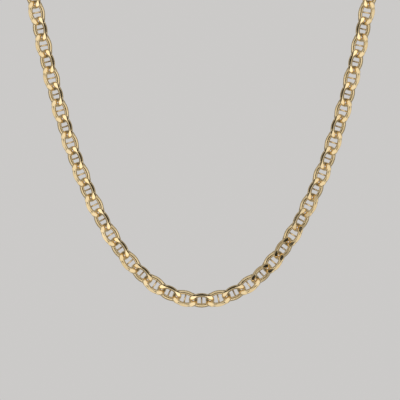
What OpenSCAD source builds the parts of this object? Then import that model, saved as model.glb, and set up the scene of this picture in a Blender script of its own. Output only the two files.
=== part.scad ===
// Mariner link neck chain, hung in its worn form. All sizes are in millimetres.
// The origin is at the nape, on the neck side of the chain, where the loop is carried.
// Z is up, and the front curve hangs in a vertical plane that faces -Y.

/* [Link] */
// Outside length of a link
link_len = 7.9; // [7.2:0.05:9.5]
// Outside width of a link, measured flat
link_w = 5.85; // [5:0.05:6.6]
// Diameter of the round wire
wire_d = 1.2; // [0.9:0.05:1.3]
// Radius of a link's round ends, to the middle of the wire
end_r = 1.6; // [1.4:0.05:2.1]
// How far each long side is thickened towards the opening
side_thick = 0.3; // [0.15:0.05:0.45]
// Diameter of the crossbar
bar_d = 0.5; // [0.3:0.05:0.8]
// Depth of the dressed flats at the front and back of the wire
flat_cut = 0.12; // [0.05:0.01:0.2]

/* [Hooking] */
// Free play along the chain between two hooked links
hook_gap = 0.3; // [0.2:0.01:0.4]
// Free play between the clasp and the links at its ends
clasp_gap = 0.6; // [0.45:0.05:0.8]
// Lean of a link, over the least at which two wires just cross
lean_room = 1.165; // [1.12:0.005:1.3]
// Angle by which a hanging link lies flatter than it was dressed
hang_turn = 4; // [0:0.5:8]
// Angle by which the whole face of the chain turns outwards
face_turn = 5; // [0:0.5:10]

/* [Loop] */
// Length once round the loop with the clasp
loop_len = 546; // [500:1:620]
// Height of the front curve
front_drop = 93; // [75:1:105]
// Radius of the front curve at its lowest point
front_r = 22.3; // [21:0.1:34]
// Height of the nape over the ends of the front curve
nape_rise = 37; // [25:1:50]

/* [Clasp] */
// Outside length of the clasp
clasp_len = 13.5; // [12:0.5:18]
// Outside width of the clasp
clasp_w = 6.4; // [6:0.1:7.5]
// Diameter of the clasp's rim
clasp_rim_d = 1.4; // [1.2:0.05:1.6]
// Length of the clasp's tail eye
tail_eye = 2.5; // [2.2:0.1:3]
// Length of the solid web between the tail eye and the opening
web_len = 2.6; // [1.5:0.1:3]
// Thickness of that web
web_t = 1; // [0.6:0.1:1.2]

/* [Hidden] */
$fn = 40;
GOLD = "#d9ab55";

wire_r = wire_d / 2;
half_len = link_len / 2 - wire_r;
half_w = link_w / 2 - wire_r;
pitch = link_len - 2 * wire_d - hook_gap;

// A link is an oval of four arcs. side_drop is how far a side's centre lies past the middle,
// and side_turn is half the angle that a side takes.
end_in = half_len - end_r;
side_r = (end_in * end_in + half_w * half_w - end_r * end_r) / (2 * (half_w - end_r));
side_drop = side_r - half_w;
side_turn = atan2(end_in, side_drop);
function oval_y(x) =
    x > side_r * sin(side_turn) ? sqrt(end_r * end_r - (x - end_in) * (x - end_in))
    : sqrt(side_r * side_r - x * x) - side_drop;

// Two hooked links cross where each is half a pitch from its middle.
cross_y = oval_y(pitch / 2);
steepest = 0.85;
lean = asin(min(steepest, lean_room * (wire_d + hook_gap) / (2 * cross_y)));
dressed_lean = lean + hang_turn;
dressed_half = half_w * sin(dressed_lean) + wire_r - flat_cut;

// A side is a hair thicker than the round ends, which run a few degrees into it and end there.
side_proud = 0.02;
side_d = wire_d + 2 * side_proud;
end_lap = 4;

// The thickened side is a second, thinner wire on a flatter arc, which meets the first one where
// the side nears the round end, so that its own ends are buried there.
thick_thin = 0.88;
thick_run = 0.66;
thick_d = wire_d * thick_thin;
thick_x = half_len * thick_run;
thick_y = half_w - side_thick;
thick_fall = thick_y - oval_y(thick_x);
thick_r = (thick_x * thick_x + thick_fall * thick_fall) / (2 * thick_fall);
thick_turn = asin(thick_x / thick_r);

clasp_r = clasp_rim_d / 2;
clasp_half_w = clasp_w / 2 - clasp_r;
clasp_straight = clasp_len / 2 - clasp_r - clasp_half_w;
clasp_step = (link_len + clasp_len) / 2 - wire_d - clasp_rim_d - clasp_gap;
web_end = clasp_len / 2 - clasp_rim_d - tail_eye;

side_links = round((loop_len / 2 - clasp_step) / pitch);
half_loop = side_links * pitch + clasp_step;

// The front curve hangs free: its height and spread follow from the distance s along it.
function front_x(s) = front_r * ln(s / front_r + sqrt(s * s / (front_r * front_r) + 1));
function front_z(s) = sqrt(s * s + front_r * front_r) - front_r;
front_s = sqrt(pow(front_drop + front_r, 2) - front_r * front_r);
front_end = [front_x(front_s), 0, front_drop];
front_way = [front_r, 0, front_s] / (front_drop + front_r);

// From there the chain runs over the side of the neck and round the nape, on one curve with
// four handles. These are the shares of its length by which the two inner handles reach out.
back_len = half_loop - front_s;
back_pulls = [0.42, 0.42];
back_steps = 60;

function handles(depth) = [
    front_end,
    front_end + front_way * back_pulls[0] * back_len,
    [back_pulls[1] * back_len, depth, front_drop + nape_rise],
    [0, depth, front_drop + nape_rise]
];
function on_curve(h, t) =
    let (u = 1 - t)
    h[0] * u * u * u + h[1] * 3 * u * u * t + h[2] * 3 * u * t * t + h[3] * t * t * t;
function curve_points(depth) =
    let (h = handles(depth))
    [for (i = [0:back_steps]) on_curve(h, i / back_steps)];
function step_lengths(points) = [for (i = [1:len(points) - 1]) norm(points[i] - points[i - 1])];
function sum_to(steps, last, i = 0, total = 0) =
    i >= last ? total : sum_to(steps, last, i + 1, total + steps[i]);
function curve_len(depth) =
    let (steps = step_lengths(curve_points(depth)))
    sum_to(steps, len(steps));

// The nape lies as deep behind the front as the chain's length allows.
function find_depth(low, high) =
    let (mid = (low + high) / 2)
    high - low < depth_fit ? mid
    : curve_len(mid) < back_len ? find_depth(mid, high)
    : find_depth(low, mid);
depth_fit = 0.000001;
depth = find_depth(0, loop_len / 2);

back_points = curve_points(depth);
back_dists =
    let (steps = step_lengths(back_points))
    [for (i = [0:back_steps]) sum_to(steps, i)];
back_table = [for (axis = [0:2]) [for (i = [0:back_steps]) [back_dists[i], back_points[i][axis]]]];
function back_at(s) = [for (axis = [0:2]) lookup(s, back_table[axis])];

nape = [0, depth - dressed_half, front_drop + nape_rise];
function route(s) = (s <= front_s ? [front_x(s), 0, front_z(s)] : back_at(s - front_s)) - nape;
function unit(v) = v / norm(v);
function way(s) = unit(route(s + 1) - route(s - 1));

// The face looks straight out at the front and turns round the neck with the curve.
function eased(u) = u <= 0 ? 0 : u >= 1 ? 1 : u * u * (3 - 2 * u);
function outward(s) = let (a = 180 * eased((s - front_s) / back_len)) [sin(a), -cos(a), 0];
function face(s) = let (t = way(s), o = outward(s)) unit(o - t * (o * t));

module hung_at(s) {
    p = route(s);
    t = way(s);
    f = face(s);
    n = cross(f, t);
    multmatrix([
        [t[0], n[0], f[0], p[0]],
        [t[1], n[1], f[1], p[1]],
        [t[2], n[2], f[2], p[2]],
        [0, 0, 0, 1]
    ])
    rotate([face_turn, 0, 0])
    children();
}

// A wire of diameter d on an arc of radius r about [x, y], half the arc each side of the
// direction middle. Rings lie flat, with their length along x.
module wire_arc(x, y, r, middle, half_turn, d) {
    translate([x, y, 0])
    rotate([0, 0, middle - half_turn])
    rotate_extrude(angle = 2 * half_turn)
    translate([r, 0])
    circle(d = d);
}

module side(y, half_run, d) {
    translate([-half_run, y, 0])
    rotate([0, 90, 0])
    cylinder(h = 2 * half_run, d = d);
}

module crossbar() {
    rotate([90, 0, 0])
    cylinder(h = 2 * half_w, d = bar_d, center = true);
}

// One link with its crossbar, at the lean it is dressed at. up is 1 where the inner side
// comes to the front and -1 where the outer side does.
module dressed_link(up) {
    intersection() {
        rotate([up * dressed_lean, 0, 0]) {
            wire_arc(end_in, 0, end_r, 0, 90 - side_turn + end_lap, wire_d);
            wire_arc(-end_in, 0, end_r, 180, 90 - side_turn + end_lap, wire_d);
            wire_arc(0, -side_drop, side_r, 90, side_turn, side_d);
            wire_arc(0, side_drop, side_r, -90, side_turn, side_d);
            wire_arc(0, thick_y - thick_r, thick_r, 90, thick_turn, thick_d);
            wire_arc(0, thick_r - thick_y, thick_r, -90, thick_turn, thick_d);
            crossbar();
        }
        cube([2 * link_len, 2 * link_w, 2 * dressed_half], center = true);
    }
}

module hung_link(i) {
    up = i % 2 == 0 ? 1 : -1;
    hung_at(i * pitch)
    rotate([-up * hang_turn, 0, 0])
    dressed_link(up);
}

module chain_right() {
    color(GOLD)
    for (i = [0:side_links]) {
        hung_link(i);
    }
}

module chain_left() {
    color(GOLD)
    mirror([1, 0, 0])
    for (i = [1:side_links]) {
        hung_link(i);
    }
}

module clasp() {
    up = side_links % 2 == 0 ? -1 : 1;
    color(GOLD)
    translate([0, dressed_half, 0])
    rotate([90, 0, 180])
    rotate([face_turn + up * lean, 0, 0]) {
        wire_arc(clasp_straight, 0, clasp_half_w, 0, 90, clasp_rim_d);
        wire_arc(-clasp_straight, 0, clasp_half_w, 180, 90, clasp_rim_d);
        side(clasp_half_w, clasp_straight, clasp_rim_d);
        side(-clasp_half_w, clasp_straight, clasp_rim_d);
        translate([web_end - web_len, -clasp_half_w, -web_t / 2])
        cube([web_len, 2 * clasp_half_w, web_t]);
    }
}

chain_left();
chain_right();
clasp();
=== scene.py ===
import math

import bmesh
import bpy
from mathutils import Matrix, Vector


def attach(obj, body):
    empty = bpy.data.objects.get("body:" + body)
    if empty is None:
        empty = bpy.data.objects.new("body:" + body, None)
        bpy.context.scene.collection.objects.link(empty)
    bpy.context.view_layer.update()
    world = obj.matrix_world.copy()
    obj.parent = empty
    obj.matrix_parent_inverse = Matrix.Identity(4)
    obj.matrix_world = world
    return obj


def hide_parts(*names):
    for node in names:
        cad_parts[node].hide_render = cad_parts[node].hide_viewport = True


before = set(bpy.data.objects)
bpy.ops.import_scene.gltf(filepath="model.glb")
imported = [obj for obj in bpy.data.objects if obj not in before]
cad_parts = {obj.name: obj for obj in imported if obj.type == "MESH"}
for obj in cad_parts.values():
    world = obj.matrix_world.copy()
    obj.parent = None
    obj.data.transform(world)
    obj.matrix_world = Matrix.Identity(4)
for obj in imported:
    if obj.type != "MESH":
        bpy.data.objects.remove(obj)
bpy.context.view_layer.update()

MM = 0.001

# Sizes of a link, in millimetres and degrees, the same as the solids have.
LINK_LEN = 7.9
LINK_W = 5.85
WIRE_R = 0.6
END_R = 1.6
HOOK_GAP = 0.3
CLASP_GAP = 0.6
LEAN_ROOM = 1.165
BAR_R = 0.25
FACE_TURN = 5.0
HANG_TURN = 4.0
FLAT_CUT = 0.12

HALF_LEN = LINK_LEN / 2 - WIRE_R
HALF_W = LINK_W / 2 - WIRE_R
PITCH = LINK_LEN - 4 * WIRE_R - HOOK_GAP
END_IN = HALF_LEN - END_R
SIDE_R = (END_IN ** 2 + HALF_W ** 2 - END_R ** 2) / (2 * (HALF_W - END_R))
SIDE_DROP = SIDE_R - HALF_W
SIDE_TURN = math.atan2(END_IN, SIDE_DROP)
CROSS_Y = math.sqrt(SIDE_R ** 2 - (PITCH / 2) ** 2) - SIDE_DROP
LEAN = math.asin(LEAN_ROOM * (2 * WIRE_R + HOOK_GAP) / (2 * CROSS_Y))
DRESSED_HALF = HALF_W * math.sin(LEAN + math.radians(HANG_TURN)) + WIRE_R - FLAT_CUT

# Sizes of the loop.
LOOP_LEN = 546.0
FRONT_DROP = 93.0
FRONT_R = 22.3
NAPE_RISE = 37.0
BACK_PULL = 0.42
BACK_STEPS = 60
DEPTH_FIT = 1e-6

# Sizes of the clasp.
CLASP_LEN = 13.5
CLASP_W = 6.4
CLASP_RIM_R = 0.7
TAIL_EYE = 2.5
WEB_LEN = 2.6
WEB_T = 1.0
WEB_ROUNDING = 0.3
CLASP_HALF_W = CLASP_W / 2 - CLASP_RIM_R
CLASP_STRAIGHT = CLASP_LEN / 2 - CLASP_RIM_R - CLASP_HALF_W
CLASP_STEP = (LINK_LEN + CLASP_LEN) / 2 - 2 * WIRE_R - 2 * CLASP_RIM_R - CLASP_GAP
WEB_END = CLASP_LEN / 2 - 2 * CLASP_RIM_R - TAIL_EYE

SIDE_LINKS = round((LOOP_LEN / 2 - CLASP_STEP) / PITCH)
HALF_LOOP = SIDE_LINKS * PITCH + CLASP_STEP


# The route of the right half of the loop, by the distance s from its lowest point.

def front_at(s):
    return Vector((FRONT_R * math.asinh(s / FRONT_R), 0, math.hypot(s, FRONT_R) - FRONT_R))


FRONT_S = math.sqrt((FRONT_DROP + FRONT_R) ** 2 - FRONT_R ** 2)
FRONT_END = front_at(FRONT_S)
FRONT_WAY = Vector((FRONT_R, 0, FRONT_S)) / (FRONT_DROP + FRONT_R)
BACK_LEN = HALF_LOOP - FRONT_S


def back_curve(depth):
    """Points from the end of the front curve to the nape, which lies depth behind the front."""
    h = (
        FRONT_END,
        FRONT_END + FRONT_WAY * BACK_PULL * BACK_LEN,
        Vector((BACK_PULL * BACK_LEN, depth, FRONT_DROP + NAPE_RISE)),
        Vector((0, depth, FRONT_DROP + NAPE_RISE)),
    )
    points = []
    for i in range(BACK_STEPS + 1):
        t = i / BACK_STEPS
        u = 1 - t
        points.append(h[0] * u ** 3 + h[1] * 3 * u * u * t + h[2] * 3 * u * t * t + h[3] * t ** 3)
    return points


def distances(points):
    total = [0.0]
    for a, b in zip(points, points[1:]):
        total.append(total[-1] + (b - a).length)
    return total


def find_depth():
    """The depth at which the back curve takes up what is left of half the loop."""
    low, high = 0.0, LOOP_LEN / 2
    while high - low > DEPTH_FIT:
        mid = (low + high) / 2
        if distances(back_curve(mid))[-1] < BACK_LEN:
            low = mid
        else:
            high = mid
    return (low + high) / 2


DEPTH = find_depth()
BACK_POINTS = back_curve(DEPTH)
BACK_DISTS = distances(BACK_POINTS)
NAPE = Vector((0, DEPTH - DRESSED_HALF, FRONT_DROP + NAPE_RISE))


def back_at(s):
    for i in range(BACK_STEPS):
        if s <= BACK_DISTS[i + 1] or i == BACK_STEPS - 1:
            t = (s - BACK_DISTS[i]) / (BACK_DISTS[i + 1] - BACK_DISTS[i])
            return BACK_POINTS[i].lerp(BACK_POINTS[i + 1], min(max(t, 0), 1))


def route(s):
    point = front_at(s) if s <= FRONT_S else back_at(s - FRONT_S)
    return point - NAPE


def eased(u):
    u = min(max(u, 0), 1)
    return u * u * (3 - 2 * u)


def hung_at(s):
    """Place of a link on the route: x along it, y inwards, and z out to the chain's face."""
    way = (route(s + 1) - route(s - 1)).normalized()
    turn = math.pi * eased((s - FRONT_S) / BACK_LEN)
    out = Vector((math.sin(turn), -math.cos(turn), 0))
    face = (out - way * out.dot(way)).normalized()
    across = face.cross(way)
    place = Matrix((way, across, face)).transposed().to_4x4()
    place.translation = route(s)
    return place @ Matrix.Rotation(math.radians(FACE_TURN), 4, "X")


# The wire of a link, in the chain's own frame: x along the chain, y inwards and z to the front.
# Its section is a circle, widened towards the opening along the legs. Both legs lie level at
# the front and back, as they do once a link is dressed, and the round ends turn steeply from the
# one to the other. At its four shoulders, where two links cross, the wire is forged wider and
# stands proud, up to the level of the legs.

# How finely the skin is made: sections on each leg and round end, and points on each section.
LEG_STATIONS = 15
END_STATIONS = 22
ROWS = 22

# The legs lie level from this share of the half width outwards, and each lies this much nearer
# to the link's middle plane than a plain lean would put it.
LEVEL_FROM = 0.72
LEVEL_IN = 0.13
HALF_Y = HALF_W * math.cos(LEAN)
HALF_Z = HALF_W * math.sin(LEAN) - LEVEL_IN

# What the wire gains: a leg towards the opening, and a shoulder on its outer side, on its inner
# side, in the lip that shows there, and in height, up to a top counted from the link's middle.
# A run is how far a form goes on in full, and over what length it then fades. It is counted
# along the chain from the link's middle, or from the form's own place where it has one.
LEG_GAIN = 0.22
LEG_RUN = (2.2, 0.8)
OUTER_GAIN = 0.28
OUTER_AT = 2.6
OUTER_RUN = (0.25, 0.7)
INNER_GAIN = 0.08
LIP_GAIN = 0.34
INNER_AT = 2.35
INNER_RUN = (0.2, 0.55)
PROUD_TOP = 1.89
PROUD_RUN = (2.6, 0.7)

# Flats of the dressed wire: a place on the leg, counted from its middle, the depth of the cut
# there, and how many degrees the flat looks away from the opening. The last two are given for
# the links whose inner leg is in front (1) and for the others (-1).
LEG_FLAT = {"at": 0.0, "cut": {1: 0.075, -1: 0.13}, "away": {1: 12.0, -1: 24.0}}
END_FLAT = {"at": 2.65, "cut": {1: 0.14, -1: 0.14}, "away": {1: -16.0, -1: -19.0}}
CUT_TOLERANCE = 1e-5

# An edge stays crisp if it turns by this much, or if it bounds a face with at least this many
# corners, as the flats have.
CRISP = math.radians(25)
FLAT_CORNERS = 8

# The crossbar's skin, and the solder fillet at both its ends.
BAR_SIDES = 14
FILLET = 0.09
FILLET_STEPS = 4


def arc_stations(x, y, r, start, turn, count):
    """Points on an arc round a centre, each with its direction outwards."""
    made = []
    for i in range(count):
        a = start + turn * (i + 0.5) / count
        made.append((x + r * math.cos(a), y + r * math.sin(a), a))
    return made


def oval_stations():
    """Points round the flat oval, each with its direction outwards."""
    end_turn = math.pi - 2 * SIDE_TURN
    made = arc_stations(END_IN, 0, END_R, -end_turn / 2, end_turn, END_STATIONS)
    made += arc_stations(0, -SIDE_DROP, SIDE_R, end_turn / 2, 2 * SIDE_TURN, LEG_STATIONS)
    made += arc_stations(-END_IN, 0, END_R, math.pi - end_turn / 2, end_turn, END_STATIONS)
    made += arc_stations(0, SIDE_DROP, SIDE_R, math.pi + end_turn / 2, 2 * SIDE_TURN, LEG_STATIONS)
    return made


def ramp(x, edge, taper):
    """1 below edge, and 0 past edge plus taper."""
    return 1 - eased((x - edge) / taper)


def wire_middle(x, y, up):
    share = min(abs(y) / HALF_W / LEVEL_FROM, 1)
    lift = math.copysign(math.sin(math.pi / 2 * share), y)
    return Vector((x, y / HALF_W * HALF_Y, up * HALF_Z * lift))


def wire_sections(up):
    """For each station its place along the link, its side of the chain and its outline."""
    flat = oval_stations()
    middles = [wire_middle(x, y, up) for x, y, _ in flat]
    ring_up = Vector((0, -up * math.sin(LEAN), math.cos(LEAN)))
    made = []
    for i, (x, y, _) in enumerate(flat):
        along = (middles[(i + 1) % len(flat)] - middles[i - 1]).normalized()
        upright = (ring_up - along * ring_up.dot(along)).normalized()
        out = along.cross(upright)
        side = math.copysign(1, y * up)
        outer = OUTER_GAIN * ramp(abs(abs(x) - OUTER_AT), *OUTER_RUN)
        neck = ramp(abs(abs(x) - INNER_AT), *INNER_RUN)
        inner = LEG_GAIN * ramp(abs(x), *LEG_RUN) + INNER_GAIN * neck
        lip = LIP_GAIN * neck
        proud = max(PROUD_TOP - WIRE_R - abs(middles[i].z), 0) * ramp(abs(x), *PROUD_RUN)
        ring = []
        for k in range(ROWS):
            b = 2 * math.pi * k / ROWS
            high = max(math.sin(b) * side, 0)
            wide = (WIRE_R + (outer if math.cos(b) > 0 else inner + lip * high)) * math.cos(b)
            spot = out * wide + upright * WIRE_R * math.sin(b)
            if spot.z * side > 0:
                spot.z *= 1 + proud / WIRE_R
            ring.append(middles[i] + spot)
        made.append({"x": x, "side": side, "ring": ring})
    return made


def flats(parts, up):
    """A point and the outward direction of each plane that dresses the link."""
    made = []
    for side in (1, -1):
        leg = [part for part in parts if part["side"] == side]
        for flat, end in ((LEG_FLAT, 1), (END_FLAT, 1), (END_FLAT, -1)):
            away = math.tan(math.radians(flat["away"][up])) * up * side
            way = Vector((0, away, side)).normalized()
            seat = min(leg, key=lambda part: abs(part["x"] - end * flat["at"]))
            far = max(way.dot(spot) for spot in seat["ring"])
            made.append((way * (far - flat["cut"][up]), way))
    return made


def cut_flat(bm, point, way):
    """Takes off what lies past a plane and closes the skin there."""
    whole = bm.verts[:] + bm.edges[:] + bm.faces[:]
    cut = bmesh.ops.bisect_plane(
        bm, geom=whole, dist=CUT_TOLERANCE, plane_co=point, plane_no=way, clear_outer=True)
    rim = [part for part in cut["geom_cut"] if isinstance(part, bmesh.types.BMEdge)]
    bmesh.ops.edgeloop_fill(bm, edges=[edge for edge in rim if edge.is_boundary])


def link_ring(up):
    parts = wire_sections(up)
    bm = bmesh.new()
    rings = [[bm.verts.new(spot) for spot in part["ring"]] for part in parts]
    close_tube(bm, rings)
    for point, way in flats(parts, up):
        cut_flat(bm, point, way)
    return mesh_of(bm, "ring")


def close_tube(bm, rings):
    """Skin of a tube that runs through rings of the same number of points and closes on itself."""
    rows = len(rings[0])
    for i, ring in enumerate(rings):
        after = rings[(i + 1) % len(rings)]
        for k in range(rows):
            m = (k + 1) % rows
            bm.faces.new((ring[k], after[k], after[m], ring[m]))


def turned_rod(bm, profile, sides):
    """A rod along y through pairs of place and radius, closed at both ends."""
    rings = []
    for y, r in profile:
        ring = []
        for k in range(sides):
            a = 2 * math.pi * k / sides
            ring.append(bm.verts.new((r * math.cos(a), y, r * math.sin(a))))
        rings.append(ring)
    for ring, after in zip(rings, rings[1:]):
        for k in range(sides):
            m = (k + 1) % sides
            bm.faces.new((ring[k], ring[m], after[m], after[k]))
    bm.faces.new(rings[0])
    bm.faces.new(rings[-1])


def mesh_of(bm, name):
    """Mesh of closed skins, smooth but for its crisp edges."""
    bmesh.ops.recalc_face_normals(bm, faces=bm.faces)
    for face in bm.faces:
        face.smooth = True
    for edge in bm.edges:
        round_too = all(len(face.verts) < FLAT_CORNERS for face in edge.link_faces)
        edge.smooth = round_too and edge.calc_face_angle(0) < CRISP
    mesh = bpy.data.meshes.new(name)
    bm.to_mesh(mesh)
    bm.free()
    return mesh


def add_object(name, data):
    made = bpy.data.objects.new(name, data)
    bpy.context.scene.collection.objects.link(made)
    return made


def union(mesh_a, mesh_b, name):
    """Both meshes made into one closed skin."""
    first = add_object(name + "_a", mesh_a)
    second = add_object(name + "_b", mesh_b)
    joined = first.modifiers.new("join", "BOOLEAN")
    joined.operation = "UNION"
    joined.solver = "EXACT"
    joined.object = second
    state = bpy.context.evaluated_depsgraph_get()
    mesh = bpy.data.meshes.new_from_object(first.evaluated_get(state))
    mesh.name = name
    for made in (first, second):
        bpy.data.objects.remove(made)
    return mesh


def bar_profile():
    """Place and radius along the crossbar, which widens to its solder fillets at both ends."""
    wall = HALF_W - WIRE_R - LEG_GAIN
    fillet = []
    for k in range(FILLET_STEPS + 1):
        a = math.pi / 2 * k / FILLET_STEPS
        fillet.append((wall - FILLET * (1 - math.sin(a)), BAR_R + FILLET * (1 - math.cos(a))))
    fillet.append((wall + WIRE_R / 2, BAR_R + FILLET))
    return [(-y, r) for y, r in reversed(fillet)] + fillet


def link_mesh(up):
    """One link with its crossbar. up is 1 where the inner leg is in front, and -1 for the outer."""
    ring = link_ring(up)
    bm = bmesh.new()
    turned_rod(bm, bar_profile(), BAR_SIDES)
    bar = mesh_of(bm, "bar")
    bar.transform(Matrix.Rotation(up * math.atan2(HALF_Z, HALF_Y), 4, "X"))
    return union(ring, bar, "link")


def chain_object(name, node, numbers, side, meshes):
    """All links of one strand in one mesh, in metres."""
    bm = bmesh.new()
    for i in numbers:
        mesh = meshes[1 if i % 2 == 0 else -1].copy()
        mesh.transform(hung_at(i * PITCH))
        if side < 0:
            mesh.transform(Matrix.Diagonal((-1, 1, 1, 1)))
            mesh.flip_normals()
        mesh.transform(Matrix.Scale(MM, 4))
        bm.from_mesh(mesh)
        bpy.data.meshes.remove(mesh)
    whole = bpy.data.meshes.new(name)
    bm.to_mesh(whole)
    bm.free()
    piece = add_object(name, whole)
    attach(piece, "root")
    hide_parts(node)
    return piece


# How finely the clasp's skin is made.
CLASP_END_STATIONS = 36
CLASP_LINE_STATIONS = 12
CLASP_ROWS = 28
WEB_ROUNDING_STEPS = 5


def line_stations(x, y, count):
    """Points along a straight side, from x to the same distance past the middle."""
    steps = [1 - 2 * (i + 0.5) / count for i in range(count)]
    return [(x * t, y, math.copysign(math.pi / 2, y)) for t in steps]


def clasp_rim():
    half = math.pi / 2
    flat = arc_stations(CLASP_STRAIGHT, 0, CLASP_HALF_W, -half, math.pi, CLASP_END_STATIONS)
    flat += line_stations(CLASP_STRAIGHT, CLASP_HALF_W, CLASP_LINE_STATIONS)
    flat += arc_stations(-CLASP_STRAIGHT, 0, CLASP_HALF_W, half, math.pi, CLASP_END_STATIONS)
    flat += line_stations(-CLASP_STRAIGHT, -CLASP_HALF_W, CLASP_LINE_STATIONS)
    turns = [2 * math.pi * k / CLASP_ROWS for k in range(CLASP_ROWS)]
    upright = Vector((0, 0, CLASP_RIM_R))
    bm = bmesh.new()
    rings = []
    for x, y, a in flat:
        middle = Vector((x, y, 0))
        out = Vector((math.cos(a), math.sin(a), 0)) * CLASP_RIM_R
        rings.append([bm.verts.new(middle + out * math.cos(b) + upright * math.sin(b)) for b in turns])
    close_tube(bm, rings)
    return mesh_of(bm, "rim")


def clasp_web():
    size = (WEB_LEN, 2 * CLASP_HALF_W, WEB_T)
    middle = (WEB_END - WEB_LEN / 2, 0, 0)
    bm = bmesh.new()
    bmesh.ops.create_cube(bm, size=1, matrix=Matrix.Translation(middle) @ Matrix.Diagonal((*size, 1)))
    long_edges = [e for e in bm.edges if abs(e.verts[0].co.y - e.verts[1].co.y) > CLASP_HALF_W]
    bmesh.ops.bevel(
        bm, geom=long_edges, offset=WEB_ROUNDING, segments=WEB_ROUNDING_STEPS, profile=0.5,
        affect="EDGES")
    return mesh_of(bm, "web")


def clasp_object():
    """The plain closed clasp: a long rim and the web that parts its tail eye from its opening."""
    mesh = union(clasp_rim(), clasp_web(), "clasp")
    up = -1 if SIDE_LINKS % 2 == 0 else 1
    turn = math.radians(FACE_TURN) + up * LEAN
    place = Matrix.Translation((0, DRESSED_HALF, 0))
    place = place @ Matrix.Rotation(math.pi, 4, "Z") @ Matrix.Rotation(math.pi / 2, 4, "X")
    mesh.transform(Matrix.Scale(MM, 4) @ place @ Matrix.Rotation(turn, 4, "X"))
    piece = add_object("clasp_fine", mesh)
    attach(piece, "root")
    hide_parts("clasp")
    return piece


def add_node(nodes, kind, settings):
    """A shader node with the given values on its sockets."""
    made = nodes.new(kind)
    for socket, value in settings.items():
        made.inputs[socket].default_value = value
    return made


def add_mix(nodes, settings):
    """A node that mixes the colours A and B."""
    made = nodes.new("ShaderNodeMix")
    made.data_type = "RGBA"
    for socket, value in settings.items():
        made.inputs[socket].default_value = value
    return made


# The gold: two tints, the range of its roughness, and the noise that spreads each over the
# metal. The last noise makes fine polishing marks, whose height is in metres.
GOLD_PALE = (0.92, 0.745, 0.455, 1)
GOLD_DEEP = (0.88, 0.685, 0.375, 1)
GLOSS = (0.07, 0.13)
TINT_NOISE = {"scale": 260, "detail": 3}
GLOSS_NOISE = {"scale": 900, "detail": 4}
MARK_NOISE = {"scale": 2200, "detail": 2, "stretch": (1, 1, 0.35)}
MARK_HEIGHT = 4e-6
MARK_STRENGTH = 0.22
NOISE_RANGE = (0.3, 0.7)


def gold_material():
    mat = bpy.data.materials.new("polished_gold")
    mat.use_nodes = True
    nodes = mat.node_tree.nodes
    links = mat.node_tree.links
    shader = nodes["Principled BSDF"]
    shader.inputs["Metallic"].default_value = 1.0
    coords = nodes.new("ShaderNodeTexCoord")

    def noise(scale, detail, stretch=(1, 1, 1)):
        place = add_node(nodes, "ShaderNodeMapping", {"Scale": stretch})
        links.new(coords.outputs["Object"], place.inputs["Vector"])
        made = add_node(nodes, "ShaderNodeTexNoise", {"Scale": scale, "Detail": detail})
        links.new(place.outputs["Vector"], made.inputs["Vector"])
        return made.outputs["Fac"]

    def graded(value, low, high):
        ends = {"From Min": NOISE_RANGE[0], "From Max": NOISE_RANGE[1], "To Min": low, "To Max": high}
        made = add_node(nodes, "ShaderNodeMapRange", ends)
        links.new(value, made.inputs["Value"])
        return made.outputs["Result"]

    tint = add_mix(nodes, {"A": GOLD_PALE, "B": GOLD_DEEP})
    links.new(graded(noise(**TINT_NOISE), 0, 1), tint.inputs["Factor"])
    links.new(tint.outputs["Result"], shader.inputs["Base Color"])
    links.new(graded(noise(**GLOSS_NOISE), *GLOSS), shader.inputs["Roughness"])
    bump = add_node(nodes, "ShaderNodeBump", {"Strength": MARK_STRENGTH, "Distance": MARK_HEIGHT})
    links.new(noise(**MARK_NOISE), bump.inputs["Height"])
    links.new(bump.outputs["Normal"], shader.inputs["Normal"])
    return mat


meshes = {1: link_mesh(1), -1: link_mesh(-1)}
right = chain_object("links_right", "chain_right", range(SIDE_LINKS + 1), 1, meshes)
left = chain_object("links_left", "chain_left", range(1, SIDE_LINKS + 1), -1, meshes)
clasp = clasp_object()
gold = gold_material()
for piece in (right, left, clasp):
    piece.data.materials.clear()
    piece.data.materials.append(gold)


# The stage: a pale floor below, a pale surround, and soft lights round the camera.

# The camera looks level along +Y at the front curve. View sizes and places are in metres.
VIEW_W = 0.124
VIEW_X = -0.0005
VIEW_Z = -0.0989
CAMERA_FAR = 1.5
SENSOR_MM = 36
CLIP = (0.05, 20)
FRONT_Y = route(0).y * MM

FLOOR_Z = -0.25
FLOOR_HALF = 2.0
FLOOR_COLOUR = (0.80, 0.795, 0.785, 1)
BACKGROUND = (0.60, 0.59, 0.58, 1)
WARM = (1.0, 0.94, 0.85)
WHITE = (1.0, 0.985, 0.96)

# The light of the surround: angle away from the camera's side in degrees, grey level and warmth.
# Three bright bands lie where the dressed flats look, and a fourth where half the crossbars do.
SURROUND = (
    (0, 0.04, 0.15), (18, 0.045, 0.15), (22, 0.90, 0.05), (25, 1.02, 0.05), (31, 1.02, 0.05),
    (34, 0.28, 0.05), (38, 0.28, 0.05), (41, 1.02, 0.05), (47, 1.02, 0.05), (50, 0.28, 0.05),
    (54, 0.28, 0.05), (57, 0.86, 0.05), (65, 0.86, 0.05), (69, 0.14, 0.05), (76, 0.12, 0.08),
    (79, 0.88, 0.05), (87, 0.88, 0.05), (90, 0.10, 0.08), (104, 0.10, 0.08), (124, 0.32, 0.04),
    (180, 0.62, 0.03),
)

# Round patches in that light, two of them dim: angle from the camera's side, clockwise turn from
# straight up as the camera sees it, half-width, all in degrees, and grey level.
PATCHES = ((43.5, 131.5, 8, 0.03), (27.4, -51, 5.2, 0.03), (12.9, -47, 2.2, 0.46))
PATCH_WARMTH = 0.1
PATCH_FADE = 1.15

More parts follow.
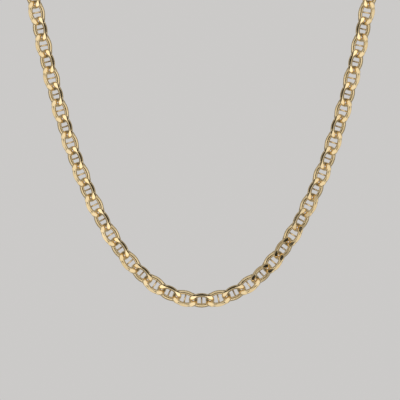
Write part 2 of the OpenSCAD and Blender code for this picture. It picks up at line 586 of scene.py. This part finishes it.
# The lights round the camera, all turned to one point between the strands: azimuth from the
# camera's side and elevation in degrees, size in metres, and power.
LIGHTS = {
    "left": (-47, -6, (0.35, 0.8), 0.3),
    "right": (47, 12, (0.35, 0.7), 0.3),
    "low": (-8, -44, (0.7, 0.3), 0.25),
}
LIGHT_FAR = 1.0
LIGHT_AIM = Vector((0, FRONT_Y, -0.08))
ABOVE_ANGLE = 60
ABOVE_POWER = 1.05


def make_camera():
    data = bpy.data.cameras.new("camera")
    data.sensor_width = SENSOR_MM
    data.lens = data.sensor_width * CAMERA_FAR / VIEW_W
    data.clip_start, data.clip_end = CLIP
    camera = add_object("camera", data)
    camera.location = (VIEW_X, FRONT_Y - CAMERA_FAR, VIEW_Z)
    camera.rotation_euler = (math.pi / 2, 0, 0)
    bpy.context.scene.camera = camera


def matt_material(name, colour):
    mat = bpy.data.materials.new(name)
    mat.use_nodes = True
    shader = mat.node_tree.nodes["Principled BSDF"]
    shader.inputs["Base Color"].default_value = colour
    shader.inputs["Roughness"].default_value = 1.0
    shader.inputs["Specular IOR Level"].default_value = 0.0
    return mat


def make_floor():
    corners = [(x * FLOOR_HALF, y * FLOOR_HALF, FLOOR_Z) for x, y in ((-1, -1), (1, -1), (1, 1), (-1, 1))]
    mesh = bpy.data.meshes.new("floor")
    mesh.from_pydata(corners, [], [(0, 1, 2, 3)])
    mesh.materials.append(matt_material("floor", FLOOR_COLOUR))
    floor = add_object("floor", mesh)
    floor.visible_glossy = False


def grey(level, warmth):
    return (level, level * (1 - warmth / 2), level * (1 - warmth), 1)


def patch_way(away, turn):
    """The direction of a patch in the surround."""
    a, t = math.radians(away), math.radians(turn)
    return (math.sin(a) * math.sin(t), -math.cos(a), math.sin(a) * math.cos(t))


def make_surround():
    """Bright bands round the dim camera side, as the chain sees it. The camera sees plain pale."""
    world = bpy.data.worlds.new("surround")
    bpy.context.scene.world = world
    world.use_nodes = True
    nodes = world.node_tree.nodes
    links = world.node_tree.links
    coords = nodes.new("ShaderNodeTexCoord")
    axes = nodes.new("ShaderNodeSeparateXYZ")
    links.new(coords.outputs["Generated"], axes.inputs["Vector"])
    toward = add_node(nodes, "ShaderNodeMapRange", {"From Min": -1, "From Max": 1})
    links.new(axes.outputs["Y"], toward.inputs["Value"])
    bands = nodes.new("ShaderNodeValToRGB")
    stops = bands.color_ramp.elements
    stops[0].color = grey(*SURROUND[0][1:])
    stops[1].color = grey(*SURROUND[-1][1:])
    for angle, level, warmth in SURROUND[1:-1]:
        stops.new((1 - math.cos(math.radians(angle))) / 2).color = grey(level, warmth)
    links.new(toward.outputs["Result"], bands.inputs["Fac"])
    light = bands.outputs["Color"]
    for away, turn, half, level in PATCHES:
        near = nodes.new("ShaderNodeVectorMath")
        near.operation = "DOT_PRODUCT"
        near.inputs[1].default_value = patch_way(away, turn)
        links.new(coords.outputs["Generated"], near.inputs[0])
        rim = math.cos(math.radians(half * PATCH_FADE))
        ends = {"From Min": rim, "From Max": math.cos(math.radians(half))}
        inside = add_node(nodes, "ShaderNodeMapRange", ends)
        links.new(near.outputs["Value"], inside.inputs["Value"])
        shade = add_mix(nodes, {"B": grey(level, PATCH_WARMTH)})
        links.new(inside.outputs["Result"], shade.inputs["Factor"])
        links.new(light, shade.inputs["A"])
        light = shade.outputs["Result"]
    rays = nodes.new("ShaderNodeLightPath")
    seen = add_mix(nodes, {"B": BACKGROUND})
    links.new(rays.outputs["Is Camera Ray"], seen.inputs["Factor"])
    links.new(light, seen.inputs["A"])
    links.new(seen.outputs["Result"], nodes["Background"].inputs["Color"])


def soft_light(name, azimuth, elevation, size, power):
    data = bpy.data.lights.new(name, "AREA")
    data.shape = "RECTANGLE"
    data.size, data.size_y = size
    data.energy = power
    data.color = WARM
    light = add_object(name, data)
    a, e = math.radians(azimuth), math.radians(elevation)
    way = Vector((math.sin(a) * math.cos(e), -math.cos(a) * math.cos(e), math.sin(e)))
    light.location = LIGHT_AIM + way * LIGHT_FAR
    light.rotation_euler = way.to_track_quat("Z", "Y").to_euler()
    light.visible_camera = False


def floor_light():
    """An even light from straight above, for the floor alone: the gold doesn't mirror it."""
    data = bpy.data.lights.new("above", "SUN")
    data.angle = math.radians(ABOVE_ANGLE)
    data.energy = ABOVE_POWER
    data.color = WHITE
    light = add_object("above", data)
    light.visible_glossy = False


make_camera()
make_floor()
make_surround()
for name, settings in LIGHTS.items():
    soft_light(name, *settings)
floor_light()
bpy.context.scene.view_settings.view_transform = "Standard"
